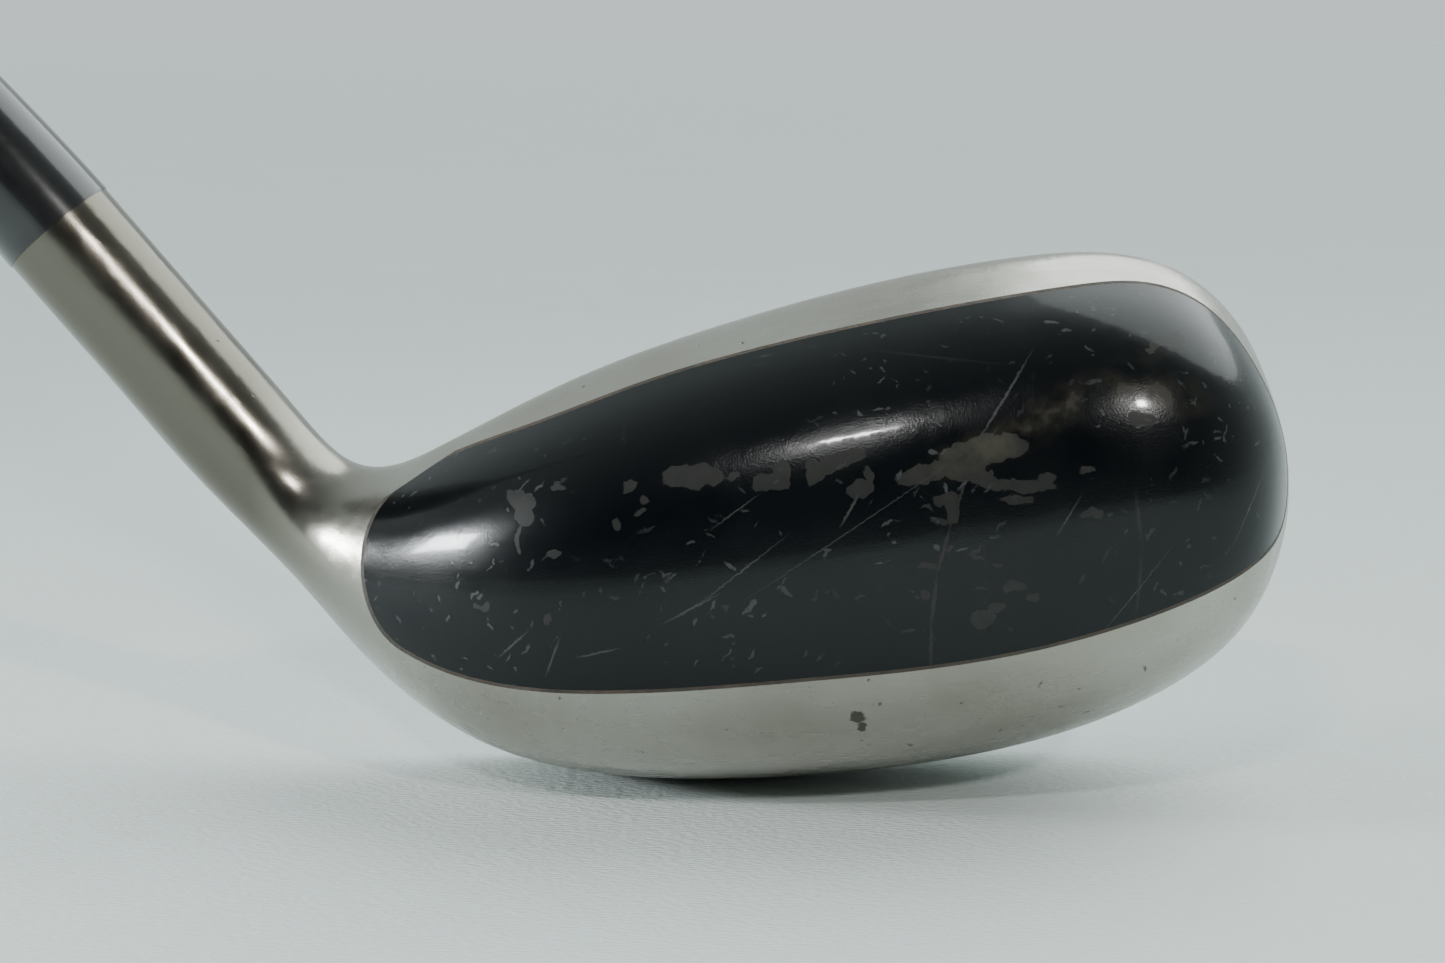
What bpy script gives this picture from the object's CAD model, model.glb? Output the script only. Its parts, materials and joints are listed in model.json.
"""Looks of the hybrid golf club: satin steel head, chipped black back, graphite shaft and rubber grip."""

import bpy
import json
from math import atan2, cos, degrees, hypot, pi, radians, sin
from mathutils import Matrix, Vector

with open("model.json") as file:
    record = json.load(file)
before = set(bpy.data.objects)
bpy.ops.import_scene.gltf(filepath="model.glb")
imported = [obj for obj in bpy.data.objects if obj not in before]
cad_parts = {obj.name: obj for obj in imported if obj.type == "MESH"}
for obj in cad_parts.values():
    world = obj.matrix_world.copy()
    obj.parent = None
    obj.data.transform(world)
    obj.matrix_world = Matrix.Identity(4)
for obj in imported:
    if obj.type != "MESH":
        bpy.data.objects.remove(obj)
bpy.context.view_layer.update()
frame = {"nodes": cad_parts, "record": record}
nodes = frame["nodes"]
mounts = {mount["name"]: mount for mount in frame["record"]["mounts"]}
MM = 0.001
shaft_up = Vector(mounts["cap_vent"]["axis"])
SHAFT_LEAN = atan2(shaft_up.x, shaft_up.z)      # the shaft's axis is Z turned this far about Y

# ---- camera -------------------------------------------------------------------------------------
CAMERA_AT = (0.0025, -0.314, 0.082)
CAMERA_PITCH = 81.0      # degrees up from straight down
LENS = 70.0
SENSOR = 36.0

scene = bpy.context.scene
camera = bpy.data.objects.new("camera", bpy.data.cameras.new("camera"))
camera.location = CAMERA_AT
camera.rotation_euler = (radians(CAMERA_PITCH), 0, 0)
camera.data.lens = LENS
camera.data.sensor_width = SENSOR
camera.data.clip_start = 0.01
scene.collection.objects.link(camera)
scene.camera = camera


# ---- material building --------------------------------------------------------------------------
class Paint:
    """One procedural material, with short names for the nodes it is made of."""

    def __init__(self, name):
        self.material = bpy.data.materials.new(name)
        self.material.use_nodes = True
        self.tree = self.material.node_tree
        self.shader = self.tree.nodes["Principled BSDF"]
        self.place = self.tree.nodes.new("ShaderNodeTexCoord").outputs["Object"]

    def feed(self, value, socket):
        if isinstance(value, bpy.types.NodeSocket):
            self.tree.links.new(value, socket)
        else:
            socket.default_value = value

    def set(self, **values):
        for name, value in values.items():
            self.feed(value, self.shader.inputs[name.replace("_", " ")])

    def stretched(self, scale, turn=(0, 0, 0), vector=None):
        """Coordinates turned and then scaled, for grain that runs one way."""
        node = self.tree.nodes.new("ShaderNodeMapping")
        node.vector_type = "TEXTURE"
        self.feed(vector or self.place, node.inputs["Vector"])
        node.inputs["Scale"].default_value = [1 / each for each in scale]
        node.inputs["Rotation"].default_value = [radians(angle) for angle in turn]
        return node.outputs["Vector"]

    def round_shaft(self):
        """(angle round the shaft in radians, distance along it in metres)."""
        node = self.tree.nodes.new("ShaderNodeMapping")
        node.vector_type = "TEXTURE"
        self.feed(self.place, node.inputs["Vector"])
        node.inputs["Location"].default_value = mounts["cap_vent"]["pos_m"]
        node.inputs["Rotation"].default_value = (0, SHAFT_LEAN, 0)
        split = self.tree.nodes.new("ShaderNodeSeparateXYZ")
        self.feed(node.outputs["Vector"], split.inputs[0])
        return self.math("ARCTAN2", split.outputs["Y"], split.outputs["X"]), split.outputs["Z"]

    def noise(self, scale, vector=None, detail=3.0, output="Fac"):
        node = self.tree.nodes.new("ShaderNodeTexNoise")
        self.feed(vector or self.place, node.inputs["Vector"])
        node.inputs["Scale"].default_value = scale
        node.inputs["Detail"].default_value = detail
        return node.outputs[output]

    def cells(self, scale, vector=None, output="Distance"):
        node = self.tree.nodes.new("ShaderNodeTexVoronoi")
        self.feed(vector or self.place, node.inputs["Vector"])
        node.inputs["Scale"].default_value = scale
        return node.outputs[output]

    def math(self, kind, a, b=0.0):
        node = self.tree.nodes.new("ShaderNodeMath")
        node.operation = kind
        self.feed(a, node.inputs[0])
        self.feed(b, node.inputs[1])
        return node.outputs[0]

    def vector_math(self, kind, a, b=None, scale=1.0):
        node = self.tree.nodes.new("ShaderNodeVectorMath")
        node.operation = kind
        self.feed(a, node.inputs[0])
        if b is not None:
            self.feed(b, node.inputs[1])
        if kind == "SCALE":
            node.inputs["Scale"].default_value = scale
        return node.outputs["Value" if kind == "LENGTH" else "Vector"]

    def ramp(self, value, low, high, out_low=0.0, out_high=1.0):
        """value taken from low..high to out_low..out_high and held there outside it."""
        node = self.tree.nodes.new("ShaderNodeMapRange")
        self.feed(value, node.inputs["Value"])
        ends = (("From Min", low), ("From Max", high), ("To Min", out_low), ("To Max", out_high))
        for name, number in ends:
            node.inputs[name].default_value = number
        return node.outputs["Result"]

    def blend(self, share, a, b):
        """Colour a where share is 0, colour b where it is 1."""
        node = self.tree.nodes.new("ShaderNodeMix")
        node.data_type = "RGBA"
        self.feed(share, node.inputs["Factor"])
        first, second = [socket for socket in node.inputs if socket.type == "RGBA"]
        self.feed(a, first)
        self.feed(b, second)
        return [socket for socket in node.outputs if socket.type == "RGBA"][0]

    def bump(self, height, distance, under=None):
        """Surface normal tilted by height, which is 0 to 1 over distance metres."""
        node = self.tree.nodes.new("ShaderNodeBump")
        node.inputs["Strength"].default_value = 1.0
        node.inputs["Distance"].default_value = distance
        self.feed(height, node.inputs["Height"])
        if under is not None:
            self.feed(under, node.inputs["Normal"])
        return node.outputs["Normal"]

    def position(self, axis):
        node = self.tree.nodes.new("ShaderNodeSeparateXYZ")
        self.feed(self.place, node.inputs[0])
        return node.outputs[axis]

    def ragged(self, scale, amount):
        """Place, pushed about by up to amount metres, so that shapes drawn on it get torn edges."""
        push = self.vector_math("SUBTRACT", self.noise(scale, detail=4.0, output="Color"), (0.5, 0.5, 0.5))
        return self.vector_math("ADD", self.place, self.vector_math("SCALE", push, scale=2 * amount))

    def spots(self, shapes, vector):
        """How far inside the nearest ellipse a point is, in metres, seen from behind the head.

        Each shape is (x, z, half width, half height, turn in degrees), in millimetres."""
        inside = None
        for x, z, half_width, half_height, turn in shapes:
            node = self.tree.nodes.new("ShaderNodeMapping")
            node.vector_type = "TEXTURE"
            self.feed(vector, node.inputs["Vector"])
            node.inputs["Location"].default_value = (x * MM, 0, z * MM)
            node.inputs["Rotation"].default_value = (0, -radians(turn), 0)
            node.inputs["Scale"].default_value = (half_width * MM, 1000, half_height * MM)
            reach = self.math("SUBTRACT", 1.0, self.vector_math("LENGTH", node.outputs["Vector"]))
            depth = self.math("MULTIPLY", reach, min(half_width, half_height) * MM)
            inside = depth if inside is None else self.math("MAXIMUM", inside, depth)
        return inside


def stroke(x0, z0, x1, z1, half_width):
    """A thin ellipse between two points, as a shape for spots()."""
    length = hypot(x1 - x0, z1 - z0)
    return ((x0 + x1) / 2, (z0 + z1) / 2, length / 2, half_width, degrees(atan2(z1 - z0, x1 - x0)))


# ---- satin steel --------------------------------------------------------------------------------
STEEL = (0.43, 0.415, 0.375, 1)
STEEL_STAIN = (0.25, 0.225, 0.185, 1)
NECK_STEEL = (0.155, 0.142, 0.118, 1)        # the hosel and neck have gone darker with handling
GRAIN = (9, 900, 900)             # fine brushing along the head
# x where the neck's plain, darker satin turns into the brushed head
BRUSHED_FROM, BRUSHED_TO = -0.050, -0.030
STEEL_MARK = (0.10, 0.09, 0.08, 1)
# dents in the sole, as Paint.spots() takes them
SOLE_DINGS = [
    (16.3, 13.0, 0.75, 0.9, 60), (16.9, 11.8, 0.5, 0.6, 0), (35.0, 16.6, 0.12, 0.4, -20),
    (46.0, 17.6, 0.15, 0.45, 10), (28.0, 5.8, 0.9, 0.25, 0), (40.5, 12.0, 0.35, 0.15, 20),
    (22.0, 9.0, 0.3, 0.12, 0), (47.5, 12.6, 0.25, 0.12, 0), (-6.0, 8.0, 0.5, 0.1, -8),
    (3.0, 11.5, 0.12, 0.12, 0), (-14.0, 10.5, 0.2, 0.1, 30), (31.5, 10.5, 0.12, 0.3, 0),
]


def steel(name, roughness, grain_depth):
    paint = Paint(name)
    fine = paint.noise(1.0, vector=paint.stretched(GRAIN), detail=4.0)
    blasted = paint.noise(5200.0, detail=2.0)
    brushed = paint.ramp(paint.position("X"), BRUSHED_FROM, BRUSHED_TO)
    cloudy = paint.noise(38.0, detail=5.0)
    fingered = paint.noise(150.0, detail=6.0)
    stain = paint.ramp(cloudy, 0.40, 0.72, 0.0, 0.7)
    nicks = paint.ramp(paint.cells(260.0, vector=paint.ragged(900.0, 0.0004)), 0.035, 0.06, 1.0, 0.0)
    dings = paint.ramp(paint.spots(SOLE_DINGS, paint.ragged(1500.0, 0.0005)), -0.00005, 0.0001)
    mark = paint.math("MAXIMUM", paint.math("MULTIPLY", nicks, 0.7), dings)
    colour = paint.blend(brushed, NECK_STEEL, STEEL)
    colour = paint.blend(paint.math("MULTIPLY", stain, brushed), colour, STEEL_STAIN)
    colour = paint.blend(mark, colour, STEEL_MARK)
    grain = paint.math("MULTIPLY", paint.math("SUBTRACT", fine, 0.5), brushed)
    shine = paint.ramp(fingered, 0.3, 0.7, roughness - 0.05, roughness + 0.06)
    shine = paint.math("ADD", shine, paint.math("MULTIPLY", grain, 0.25))
    shine = paint.math("SUBTRACT", shine, paint.ramp(brushed, 0.0, 1.0, 0.06, 0.0))
    normal = paint.bump(blasted, 0.000006)
    normal = paint.bump(grain, grain_depth, under=normal)
    normal = paint.bump(mark, -0.00008, under=normal)
    paint.set(Base_Color=colour, Metallic=1.0, Roughness=shine, Normal=normal)
    return paint.material


# ---- black back ---------------------------------------------------------------------------------
BLACK = (0.0018, 0.0026, 0.0034, 1)
BLACK_DUSTY = (0.006, 0.0075, 0.0085, 1)
PRIMER = (0.009, 0.0095, 0.009, 1)
PRIMER_SPECK = (0.020, 0.0198, 0.018, 1)
PRIMER_SMEARED = (0.040, 0.036, 0.026, 1)
SMEAR_BROWN = (0.036, 0.031, 0.021, 1)
FAINT_GREY = (0.020, 0.021, 0.021, 1)
NICK_GREY = (0.034, 0.037, 0.038, 1)
SCRATCH_GREY = (0.034, 0.036, 0.035, 1)
# places where the black is off, as Paint.spots() takes them
CHIPS = [
    (-0.6, 38.0, 3.1, 1.25, 3), (3.5, 38.1, 0.9, 0.5, 0), (7.4, 37.7, 2.0, 0.9, 0),
    (8.6, 38.9, 0.8, 1.0, 20), (14.0, 39.8, 3.0, 0.9, 25), (11.6, 38.8, 0.9, 1.2, 0),
    (16.4, 37.2, 1.3, 1.0, 0), (17.1, 38.9, 0.4, 1.0, 0), (-18.4, 34.7, 1.5, 0.9, -10),
    (-18.0, 33.0, 1.2, 1.1, 0), (-18.6, 30.6, 0.35, 1.4, 0), (-14.2, 36.2, 0.7, 0.4, 10),
    (-6.9, 36.9, 0.9, 0.6, 0), (-5.4, 35.6, 0.5, 0.5, 0), (-8.2, 33.1, 0.5, 0.6, 30),
    (-5.9, 34.3, 0.7, 0.25, 25), (-14.8, 29.6, 0.6, 0.4, 20), (-3.0, 27.9, 0.35, 0.4, 0),
    (-15.5, 22.9, 0.6, 0.6, 30), (-22.5, 23.4, 0.8, 0.4, 10), (1.3, 32.3, 0.45, 0.2, -10),
    (2.8, 24.9, 0.35, 0.35, 0), (22.6, 38.8, 2.9, 0.9, 14), (28.6, 41.0, 4.6, 1.5, 12),
    (26.6, 39.2, 2.2, 1.3, 0), (32.2, 37.6, 3.6, 0.65, -4), (34.9, 38.3, 0.9, 0.8, 20),
    (28.6, 38.3, 1.7, 0.8, -10), (24.9, 36.3, 1.3, 0.9, 10), (25.5, 35.0, 0.6, 1.4, -5),
    (24.3, 34.0, 0.9, 0.35, -20), (31.9, 36.3, 1.7, 0.45, -3), (23.1, 29.6, 0.9, 0.35, 0),
    (22.7, 26.7, 0.45, 0.6, 0), (25.1, 31.3, 0.6, 0.2, 30), (28.7, 24.2, 1.3, 1.1, 10),
    (30.2, 25.3, 1.0, 0.4, 0), (31.9, 27.5, 1.2, 0.55, 5), (33.6, 26.4, 0.8, 0.5, 0),
    (30.0, 29.6, 0.5, 0.25, 0), (39.4, 34.9, 1.3, 0.5, 15), (38.9, 39.3, 0.9, 0.35, 5),
    (22.9, 35.4, 0.7, 0.2, -5), (28.0, 31.1, 0.7, 0.2, 25), (28.1, 30.6, 0.7, 0.2, -20),
    (41.0, 30.5, 0.2, 0.8, -10), (38.7, 28.3, 0.2, 0.7, -20), (48.5, 51.5, 1.1, 0.9, 0),
    (46.2, 51.0, 0.9, 0.5, 20), (44.6, 44.2, 1.7, 0.7, -15),
]
# points down the crack, x and z in millimetres
CRACK = [(26.8, 38.2), (25.2, 33.3), (24.0, 28.8), (23.5, 23.5), (23.6, 18.6)]
SMEAR = [
    stroke(24.5, 39.5, 34.0, 43.6, 1.3), stroke(31.0, 42.4, 42.5, 48.4, 1.0),
    stroke(41.0, 47.2, 50.0, 45.8, 1.5),
]
SCRATCHES = [
    stroke(32.9, 49.4, 28.4, 42.6, 0.10), stroke(-2.8, 23.6, 1.4, 26.0, 0.10),
    stroke(1.2, 26.2, 7.4, 31.2, 0.07), stroke(10.5, 29.8, 21.0, 37.0, 0.04),
    stroke(14.5, 33.8, 16.0, 36.4, 0.12), stroke(36.4, 33.4, 38.0, 36.0, 0.06),
    stroke(5.2, 35.8, 2.3, 33.6, 0.05), stroke(-15.6, 17.2, -14.4, 20.4, 0.10),
    stroke(-20.5, 18.5, -18.0, 21.0, 0.12), stroke(-12.0, 19.2, -8.6, 20.2, 0.10),
    stroke(42.2, 24.0, 46.0, 29.0, 0.05), stroke(55.0, 32.0, 57.5, 37.0, 0.06),
]
FAINT = [
    stroke(15.5, 50.6, 33.0, 49.2, 0.16), stroke(43.8, 38.0, 44.6, 31.0, 0.30),
    stroke(44.7, 32.0, 44.3, 22.5, 0.28),
]
# scale and turn of each layer of small random scratches
NICK_LAYERS = [
    ((760, 500, 150), (0, 35, 0)), ((700, 500, 170), (0, -50, 0)), ((620, 500, 120), (0, 80, 0)),
]


def chipped_black():
    paint = Paint("black_paint")
    torn = paint.ragged(700.0, 0.0009)
    fine_torn = paint.ragged(2600.0, 0.00022)
    crack = [stroke(*start, *end, 0.22) for start, end in zip(CRACK, CRACK[1:])]
    chips = paint.ramp(paint.spots(CHIPS, torn), -0.00006, 0.00006)
    crack_mask = paint.ramp(paint.spots(crack, fine_torn), -0.00004, 0.00006)
    bare = paint.math("MAXIMUM", chips, crack_mask)
    scratch = paint.ramp(paint.spots(SCRATCHES, fine_torn), -0.00006, 0.00004)
    faint = paint.ramp(paint.spots(FAINT, paint.place), 0.0, 0.0002, 0.0, 0.5)
    smear = paint.ramp(paint.spots(SMEAR, torn), -0.0012, 0.0009)
    smear = paint.math("MULTIPLY", smear, paint.ramp(paint.noise(420.0, detail=6.0), 0.35, 0.62))

    nicks = None
    worn = paint.ramp(paint.noise(60.0, detail=2.0), 0.42, 0.62)
    for scale, turn in NICK_LAYERS:
        grid = paint.stretched(scale, turn, vector=torn)
        layer = paint.ramp(paint.cells(1.0, vector=grid), 0.09, 0.15, 1.0, 0.0)
        nicks = layer if nicks is None else paint.math("MAXIMUM", nicks, layer)
    nicks = paint.math("MULTIPLY", nicks, worn)

    dust = paint.ramp(paint.noise(30.0, detail=8.0), 0.45, 0.8, 0.0, 0.5)
    primer = paint.blend(paint.noise(900.0, detail=4.0), PRIMER, PRIMER_SPECK)
    colour = paint.blend(dust, BLACK, BLACK_DUSTY)
    colour = paint.blend(paint.math("MULTIPLY", smear, 0.6), colour, SMEAR_BROWN)
    colour = paint.blend(bare, colour, primer)
    colour = paint.blend(paint.math("MULTIPLY", bare, smear), colour, PRIMER_SMEARED)
    colour = paint.blend(faint, colour, FAINT_GREY)
    colour = paint.blend(nicks, colour, NICK_GREY)
    colour = paint.blend(scratch, colour, SCRATCH_GREY)

    dull = paint.math("MAXIMUM", paint.math("MAXIMUM", bare, smear), paint.math("MAXIMUM", nicks, scratch))
    haze = paint.ramp(paint.noise(130.0, detail=6.0), 0.3, 0.75, 0.15, 0.27)
    roughness = paint.math("MAXIMUM", haze, paint.math("MULTIPLY", dull, 0.48))
    flakes = paint.noise(5200.0, detail=2.0)
    peel = paint.noise(340.0, detail=1.0)
    relief = paint.math("ADD", paint.math("MULTIPLY", peel, 0.4), flakes)
    paint.set(Base_Color=colour, Roughness=roughness, Normal=paint.bump(relief, 0.000016))
    paint.set(Specular_IOR_Level=0.16, Coat_Weight=0.28, Coat_Roughness=0.08)
    return paint.material


# ---- the other finishes -------------------------------------------------------------------------
def plastic(name, colour, speck, roughness, grain, depth, coat=0.0):
    """Moulded or coated plastic: a little mottled, with a fine surface of its own."""
    paint = Paint(name)
    mottle = paint.ramp(paint.noise(220.0, detail=5.0), 0.35, 0.7, 0.0, 0.6)
    shine = paint.ramp(paint.noise(90.0, detail=5.0), 0.3, 0.7, roughness * 0.8, roughness * 1.25)
    paint.set(Base_Color=paint.blend(mottle, colour, speck), Roughness=shine)
    paint.set(Normal=paint.bump(paint.noise(grain, detail=3.0), depth), Coat_Weight=coat, Coat_Roughness=0.06)
    return paint.material


def graphite():
    """Clear-coated carbon tube: fine slanting fibres under gloss."""
    paint = Paint("graphite")
    lean = degrees(SHAFT_LEAN)
    wound = paint.noise(1.0, vector=paint.stretched((2600, 2600, 120), (0, lean, 0)), detail=3.0)
    crossed = paint.noise(1.0, vector=paint.stretched((1500, 1500, 150), (25, lean, 0)), detail=2.0)
    weave = paint.math("MULTIPLY", paint.ramp(wound, 0.35, 0.65), paint.ramp(crossed, 0.3, 0.7, 0.5, 1.0))
    scuffs = paint.ramp(paint.noise(70.0, detail=7.0), 0.5, 0.72, 0.16, 0.42)
    paint.set(Base_Color=paint.blend(weave, (0.012, 0.013, 0.015, 1), (0.045, 0.048, 0.055, 1)))
    paint.set(Roughness=scuffs, Coat_Weight=0.7, Coat_Roughness=0.05)
    paint.set(Normal=paint.bump(wound, 0.000008))
    return paint.material


GRIP_STARTS = 18             # diamonds round the grip
GRIP_ROWS_PER_METRE = 260.0
GRIP_PATTERN = [(-0.228, -0.132), (-0.120, -0.024)]     # where the diamonds run, from the vent, in metres


def rubber(name):
    """Matt grip rubber: moulded diamonds in two fields, with dust in the low places between them."""
    paint = Paint(name)
    angle, along = paint.round_shaft()
    turns = paint.math("MULTIPLY", angle, GRIP_STARTS)
    rows = paint.math("MULTIPLY", along, GRIP_ROWS_PER_METRE * pi)

    def ridges(slant):
        """0 on lines that wind one way round the grip, 1 midway between them."""
        return paint.math("ABSOLUTE", paint.math("SINE", paint.math("MULTIPLY", slant, 0.5)))

    left = ridges(paint.math("ADD", turns, rows))
    right = ridges(paint.math("SUBTRACT", turns, rows))
    diamonds = paint.ramp(paint.math("MINIMUM", left, right), 0.16, 0.42)
    field = None
    for low, high in GRIP_PATTERN:
        above = paint.ramp(along, low, low + MM)
        below = paint.ramp(along, high - MM, high, 1.0, 0.0)
        inside = paint.math("MULTIPLY", above, below)
        field = inside if field is None else paint.math("MAXIMUM", field, inside)
    groove = paint.math("MULTIPLY", paint.math("SUBTRACT", 1.0, diamonds), field)
    dust = paint.ramp(paint.noise(55.0, detail=7.0), 0.45, 0.75, 0.0, 0.5)
    dust = paint.math("MAXIMUM", dust, paint.math("MULTIPLY", groove, 0.55))
    grit = paint.noise(3600.0, detail=3.0)
    colour = paint.blend(dust, (0.014, 0.014, 0.015, 1), (0.046, 0.044, 0.041, 1))
    relief = paint.bump(groove, -0.0006)
    paint.set(Base_Color=colour, Roughness=paint.ramp(grit, 0.3, 0.7, 0.55, 0.85))
    paint.set(Normal=paint.bump(grit, 0.00006, under=relief))
    return paint.material


def brass():
    paint = Paint("brass")
    turned = paint.noise(1.0, vector=paint.stretched((30, 30, 4000), (0, 50, 0)), detail=2.0)
    colour = paint.blend(paint.noise(200.0, detail=5.0), (0.62, 0.44, 0.17, 1), (0.45, 0.30, 0.12, 1))
    paint.set(Base_Color=colour, Metallic=1.0, Roughness=paint.ramp(turned, 0.3, 0.7, 0.22, 0.4))
    paint.set(Normal=paint.bump(turned, 0.00001))
    return paint.material


finishes = {
    "satin_steel": steel("satin_steel", 0.27, 0.00002),
    "weld_steel": steel("weld_steel", 0.44, 0.00004),
    "slug_steel": steel("slug_steel", 0.5, 0.00002),
    "black_paint": chipped_black(),
    "weld_dark": plastic("weld_dark", (0.022, 0.016, 0.012, 1), (0.085, 0.060, 0.040, 1), 0.6, 1800.0,
                         0.0002),
    "hot_melt": plastic("hot_melt", (0.55, 0.43, 0.18, 1), (0.66, 0.55, 0.30, 1), 0.3, 300.0, 0.0003),
    "brass": brass(),
    "epoxy": plastic("epoxy", (0.42, 0.36, 0.22, 1), (0.5, 0.44, 0.3, 1), 0.2, 600.0, 0.0001),
    "ferrule_black": plastic("ferrule_black", (0.006, 0.006, 0.007, 1), (0.016, 0.016, 0.017, 1), 0.20, 500.0,
                             0.000012, 0.4),
    "graphite": graphite(),
    "band_grey": plastic("band_grey", (0.13, 0.14, 0.15, 1), (0.18, 0.19, 0.20, 1), 0.22, 900.0, 0.000006,
                         0.6),
    "masking_tape": plastic("masking_tape", (0.60, 0.50, 0.30, 1), (0.68, 0.58, 0.38, 1), 0.8, 1500.0,
                            0.0001),
    "white_tape": plastic("white_tape", (0.75, 0.74, 0.70, 1), (0.82, 0.81, 0.78, 1), 0.8, 1500.0, 0.00008),
    "grip_rubber": rubber("grip_rubber"),
}
for part in frame["record"]["subparts"]:
    node = nodes[part["node"]]
    node.data.materials.clear()
    node.data.materials.append(finishes[part["material_slot"]])


# ---- floor and light ----------------------------------------------------------------------------
FLOOR_RADIUS = 60.0          # so far off that its edge is out of sight from a little above
FLOOR_SIDES = 96


def pale_floor():
    """Wide round cloth-covered floor, which a camera on any side sees with nothing in the way."""
    turns = [2 * pi * i / FLOOR_SIDES for i in range(FLOOR_SIDES)]
    mesh = bpy.data.meshes.new("pale_floor")
    rim = [(FLOOR_RADIUS * cos(turn), FLOOR_RADIUS * sin(turn), 0) for turn in turns]
    mesh.from_pydata(rim, [], [list(range(FLOOR_SIDES))])
    paint = Paint("cloth")
    weave = paint.noise(1.0, vector=paint.stretched((900, 2600, 900)), detail=2.0)
    folds = paint.noise(6.0, detail=3.0)
    tint = paint.blend(paint.noise(14.0, detail=5.0), (0.64, 0.715, 0.705, 1), (0.68, 0.75, 0.74, 1))
    paint.set(Base_Color=tint, Roughness=paint.ramp(weave, 0.3, 0.7, 0.8, 0.95))
    paint.set(Normal=paint.bump(weave, 0.0003, under=paint.bump(folds, 0.004)))
    mesh.materials.append(paint.material)
    floor = bpy.data.objects.new("pale_floor", mesh)
    scene.collection.objects.link(floor)


def lamp(name, place, target, size, power, tint, spread=180):
    light = bpy.data.lights.new(name, "AREA")
    light.spread = radians(spread)
    light.shape = "RECTANGLE"
    light.size, light.size_y = size
    light.energy = power
    light.color = tint
    holder = bpy.data.objects.new(name, light)
    holder.location = place
    holder.rotation_euler = (Vector(target) - Vector(place)).to_track_quat("-Z", "Y").to_euler()
    scene.collection.objects.link(holder)


HEAD = (0.0, -0.015, 0.035)
pale_floor()
lamp("strip", (-0.16, -0.66, 0.53), HEAD, (0.10, 0.016), 2.0, (1.0, 1.0, 0.98))
lamp("key", (0.42, -0.72, 0.48), HEAD, (0.05, 0.05), 3.4, (1.0, 0.99, 0.96))
lamp("window", (-1.05, -0.12, 0.24), HEAD, (0.20, 0.12), 0.9, (0.93, 0.98, 1.0), 50)

SUN_FROM = (0.50, 0.45, 0.80)
sun = bpy.data.lights.new("overhead", "SUN")
sun.energy = 2.5
sun.angle = radians(60)
sun.color = (0.93, 1.0, 0.99)
holder = bpy.data.objects.new("overhead", sun)
holder.rotation_euler = (-Vector(SUN_FROM)).to_track_quat("-Z", "Y").to_euler()
scene.collection.objects.link(holder)


ROOM_FADE = (-0.75, 0.45)    # from in front of the club to behind it, as the direction's Y
ROOM_DIM, ROOM_BRIGHT = 0.04, 0.80


def soft_room():
    """Pale light from behind the club and above it, and a dim room in front of it."""
    world = bpy.data.worlds.new("world")
    world.use_nodes = True
    tree = world.node_tree
    direction = tree.nodes.new("ShaderNodeTexCoord").outputs["Generated"]
    split = tree.nodes.new("ShaderNodeSeparateXYZ")
    tree.links.new(direction, split.inputs[0])
    fade = tree.nodes.new("ShaderNodeMapRange")
    ends = (*ROOM_FADE, ROOM_DIM, ROOM_BRIGHT)
    for name, number in zip(("From Min", "From Max", "To Min", "To Max"), ends):
        fade.inputs[name].default_value = number
    tree.links.new(split.outputs["Y"], fade.inputs["Value"])
    background = tree.nodes["Background"]
    background.inputs["Color"].default_value = (0.88, 1.0, 0.99, 1)
    tree.links.new(fade.outputs["Result"], background.inputs["Strength"])
    scene.world = world


soft_room()
